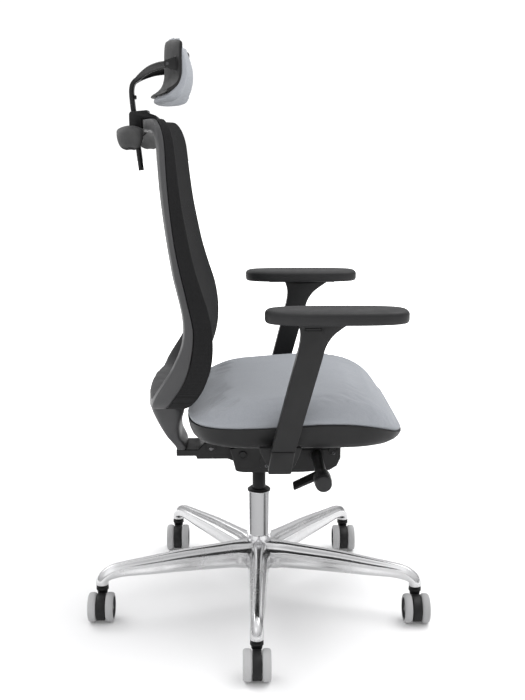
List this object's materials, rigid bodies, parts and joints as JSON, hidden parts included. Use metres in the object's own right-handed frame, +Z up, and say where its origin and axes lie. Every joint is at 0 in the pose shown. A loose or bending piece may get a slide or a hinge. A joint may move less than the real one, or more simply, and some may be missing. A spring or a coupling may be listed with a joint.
{
  "type": "office chair",
  "caption": "Office chair with synchro recline, mesh back, height-adjustable slanted armrests, headrest, coat hanger and a five-arm base on twin-wheel casters.",
  "frame": {"origin": "on the floor, at the middle of the chair's footprint box; the gas-lift column stands 28 mm from it towards +X, because the casters trail towards -X", "axes": "+Z up, -Y to the front of the chair, -X to the sitter's right"},
  "size_m": [0.7277, 0.6985, 1.164],
  "materials": {
    "polished": "polished die-cast aluminium",
    "chrome": "mirror chrome",
    "steel": "plain steel",
    "black": "black moulded plastic or painted casting",
    "dark": "dark grey moulded plastic, fine grain",
    "frame": "lighter dark-grey moulded plastic, fine grain",
    "tyre": "light grey soft tread",
    "mesh": "black stretched mesh",
    "fabric": "light grey woven fabric over foam",
    "foam": "dark grey soft polyurethane"
  },
  "bodies": {
    "base": {"star_base": "polished", "lift_tube": "chrome", "lift_bush": "black", "thrust_bearing": "steel"},
    "caster_1": {"caster_fork_1": "dark"},
    "wheel_1a": {"caster_wheel_1a": "tyre"},
    "wheel_1b": {"caster_wheel_1b": "tyre"},
    "caster_2": {"caster_fork_2": "dark"},
    "wheel_2a": {"caster_wheel_2a": "tyre"},
    "wheel_2b": {"caster_wheel_2b": "tyre"},
    "caster_3": {"caster_fork_3": "dark"},
    "wheel_3a": {"caster_wheel_3a": "tyre"},
    "wheel_3b": {"caster_wheel_3b": "tyre"},
    "caster_4": {"caster_fork_4": "dark"},
    "wheel_4a": {"caster_wheel_4a": "tyre"},
    "wheel_4b": {"caster_wheel_4b": "tyre"},
    "caster_5": {"caster_fork_5": "dark"},
    "wheel_5a": {"caster_wheel_5a": "tyre"},
    "wheel_5b": {"caster_wheel_5b": "tyre"},
    "spindle": {"lift_rod": "steel"},
    "mechanism": {"lift_cylinder": "black", "mechanism_housing": "black", "back_pivot_pin": "steel", "seat_pivot_pin": "steel", "recline_spring_right": "steel", "recline_spring_left": "steel"},
    "valve": {"release_pin": "steel"},
    "height_lever": {"height_lever": "black"},
    "rocker": {"release_rocker": "steel"},
    "lock_lever": {"lock_lever": "black"},
    "tension_knob": {"tension_shaft": "steel", "tension_knob": "black"},
    "wedge": {"tension_wedge": "steel"},
    "seat": {"seat_plate": "black", "link_pin": "steel", "seat_shell": "dark", "seat_pan": "dark", "seat_cushion": "fabric", "arm_bracket_right": "dark", "arm_bracket_left": "dark"},
    "back": {"back_bar": "black", "back_frame": "frame", "mesh_carrier": "dark", "back_mesh": "mesh", "headrest_clamp": "dark", "coat_hanger": "dark"},
    "arm_right": {"arm_sleeve_right": "dark"},
    "button_right": {"arm_button_right": "black"},
    "pad_right": {"arm_pad_base_right": "dark", "arm_pad_right": "foam"},
    "arm_left": {"arm_sleeve_left": "dark"},
    "button_left": {"arm_button_left": "black"},
    "pad_left": {"arm_pad_base_left": "dark", "arm_pad_left": "foam"},
    "head_post": {"headrest_post": "dark", "headrest_pin_right": "steel", "headrest_pin_left": "steel"},
    "headrest": {"headrest_shell": "dark", "headrest_cushion": "fabric"}
  },
  "joints": [
    {"name": "caster_swivel_1", "type": "hinge", "parent": "base", "child": "caster_1", "pos_m": [-0.31187, 0.00949, 0.071], "axis": [0, 0, 1], "continuous": true},
    {"name": "wheel_spin_1a", "type": "hinge", "parent": "caster_1", "child": "wheel_1a", "pos_m": [-0.33387, 0.00949, 0.03012], "axis": [0, 1, 0], "continuous": true},
    {"name": "wheel_spin_1b", "type": "hinge", "parent": "caster_1", "child": "wheel_1b", "pos_m": [-0.33387, 0.00949, 0.03012], "axis": [0, 1, 0], "continuous": true},
    {"name": "caster_swivel_2", "type": "hinge", "parent": "base", "child": "caster_2", "pos_m": [-0.068, 0.32617, 0.071], "axis": [0, 0, 1], "continuous": true},
    {"name": "wheel_spin_2a", "type": "hinge", "parent": "caster_2", "child": "wheel_2a", "pos_m": [-0.09, 0.32617, 0.03012], "axis": [0, 1, 0], "continuous": true},
    {"name": "wheel_spin_2b", "type": "hinge", "parent": "caster_2", "child": "wheel_2b", "pos_m": [-0.09, 0.32617, 0.03012], "axis": [0, 1, 0], "continuous": true},
    {"name": "caster_swivel_3", "type": "hinge", "parent": "base", "child": "caster_3", "pos_m": [0.30854, 0.19209, 0.071], "axis": [0, 0, 1], "continuous": true},
    {"name": "wheel_spin_3a", "type": "hinge", "parent": "caster_3", "child": "wheel_3a", "pos_m": [0.28654, 0.19209, 0.03012], "axis": [0, 1, 0], "continuous": true},
    {"name": "wheel_spin_3b", "type": "hinge", "parent": "caster_3", "child": "wheel_3b", "pos_m": [0.28654, 0.19209, 0.03012], "axis": [0, 1, 0], "continuous": true},
    {"name": "caster_swivel_4", "type": "hinge", "parent": "base", "child": "caster_4", "pos_m": [0.29738, -0.20745, 0.071], "axis": [0, 0, 1], "continuous": true},
    {"name": "wheel_spin_4a", "type": "hinge", "parent": "caster_4", "child": "wheel_4a", "pos_m": [0.27538, -0.20745, 0.03012], "axis": [0, 1, 0], "continuous": true},
    {"name": "wheel_spin_4b", "type": "hinge", "parent": "caster_4", "child": "wheel_4b", "pos_m": [0.27538, -0.20745, 0.03012], "axis": [0, 1, 0], "continuous": true},
    {"name": "caster_swivel_5", "type": "hinge", "parent": "base", "child": "caster_5", "pos_m": [-0.08605, -0.3203, 0.071], "axis": [0, 0, 1], "continuous": true},
    {"name": "wheel_spin_5a", "type": "hinge", "parent": "caster_5", "child": "wheel_5a", "pos_m": [-0.10805, -0.3203, 0.03012], "axis": [0, 1, 0], "continuous": true},
    {"name": "wheel_spin_5b", "type": "hinge", "parent": "caster_5", "child": "wheel_5b", "pos_m": [-0.10805, -0.3203, 0.03012], "axis": [0, 1, 0], "continuous": true},
    {"name": "seat_swivel", "type": "hinge", "parent": "base", "child": "spindle", "pos_m": [0.028, 0, 0.2], "axis": [0, 0, 1], "continuous": true},
    {"name": "gas_lift", "type": "slide", "parent": "spindle", "child": "mechanism", "axis": [0, 0, 1], "range_m": [-0.045, 0.065]},
    {"name": "valve_press", "type": "slide", "parent": "mechanism", "child": "valve", "axis": [0, 0, -1], "range_m": [0, 0.0027]},
    {"name": "height_lever_lift", "type": "hinge", "parent": "mechanism", "child": "height_lever", "pos_m": [0.028, -0.118, 0.337], "axis": [1, 0, 0], "range_deg": [0, 10], "stiffness_Nm_per_rad": 0.8, "springref_deg": -11.46},
    {"name": "rocker_tip", "type": "hinge", "parent": "mechanism", "child": "rocker", "pos_m": [0.028, -0.055, 0.348], "axis": [-1, 0, 0], "range_deg": [0, 2.7]},
    {"name": "recline_lock", "type": "hinge", "parent": "mechanism", "child": "lock_lever", "pos_m": [0.028, -0.118, 0.337], "axis": [1, 0, 0], "range_deg": [0, 25]},
    {"name": "tension_turn", "type": "hinge", "parent": "mechanism", "child": "tension_knob", "pos_m": [-0.172, -0.118, 0.337], "axis": [-1, 0, 0], "range_deg": [-720, 720]},
    {"name": "wedge_slide", "type": "slide", "parent": "mechanism", "child": "wedge", "axis": [1, 0, 0], "range_m": [-0.0031, 0.0031]},
    {"name": "seat_tilt", "type": "hinge", "parent": "mechanism", "child": "seat", "pos_m": [0.028, -0.15, 0.345], "axis": [-1, 0, 0], "range_deg": [0, 5.9]},
    {"name": "back_recline", "type": "hinge", "parent": "mechanism", "child": "back", "pos_m": [0.028, 0.034, 0.336], "axis": [-1, 0, 0], "range_deg": [0, 22], "stiffness_Nm_per_rad": 90, "springref_deg": -20.05},
    {"name": "arm_height_right", "type": "slide", "parent": "seat", "child": "arm_right", "axis": [0, -0.247, 0.969], "range_m": [0, 0.08]},
    {"name": "arm_button_right", "type": "slide", "parent": "arm_right", "child": "button_right", "axis": [1, 0, 0], "range_m": [0, 0.0025], "stiffness_N_per_m": 500, "springref_m": -0.001},
    {"name": "pad_slide_right", "type": "slide", "parent": "arm_right", "child": "pad_right", "axis": [0, -1, 0], "range_m": [-0.046, 0.014]},
    {"name": "arm_height_left", "type": "slide", "parent": "seat", "child": "arm_left", "axis": [0, -0.247, 0.969], "range_m": [0, 0.08]},
    {"name": "arm_button_left", "type": "slide", "parent": "arm_left", "child": "button_left", "axis": [-1, 0, 0], "range_m": [0, 0.0025], "stiffness_N_per_m": 500, "springref_m": -0.001},
    {"name": "pad_slide_left", "type": "slide", "parent": "arm_left", "child": "pad_left", "axis": [0, -1, 0], "range_m": [-0.014, 0.046]},
    {"name": "headrest_height", "type": "slide", "parent": "back", "child": "head_post", "axis": [0, 0.108, 0.9942], "range_m": [-0.01, 0.05]},
    {"name": "headrest_tilt", "type": "hinge", "parent": "head_post", "child": "headrest", "pos_m": [0.028, 0.1715, 1.111], "axis": [1, 0, 0], "range_deg": [-15, 20]}
  ],
  "couplings": [
    {"joint": "seat_tilt", "follows": "back_recline", "ratio": 0.264},
    {"joint": "rocker_tip", "follows": "height_lever_lift", "ratio": 0.26},
    {"joint": "valve_press", "follows": "height_lever_lift", "m_per_rad": 0.015},
    {"joint": "wedge_slide", "follows": "tension_turn", "m_per_rad": 0.0002387}
  ]
}
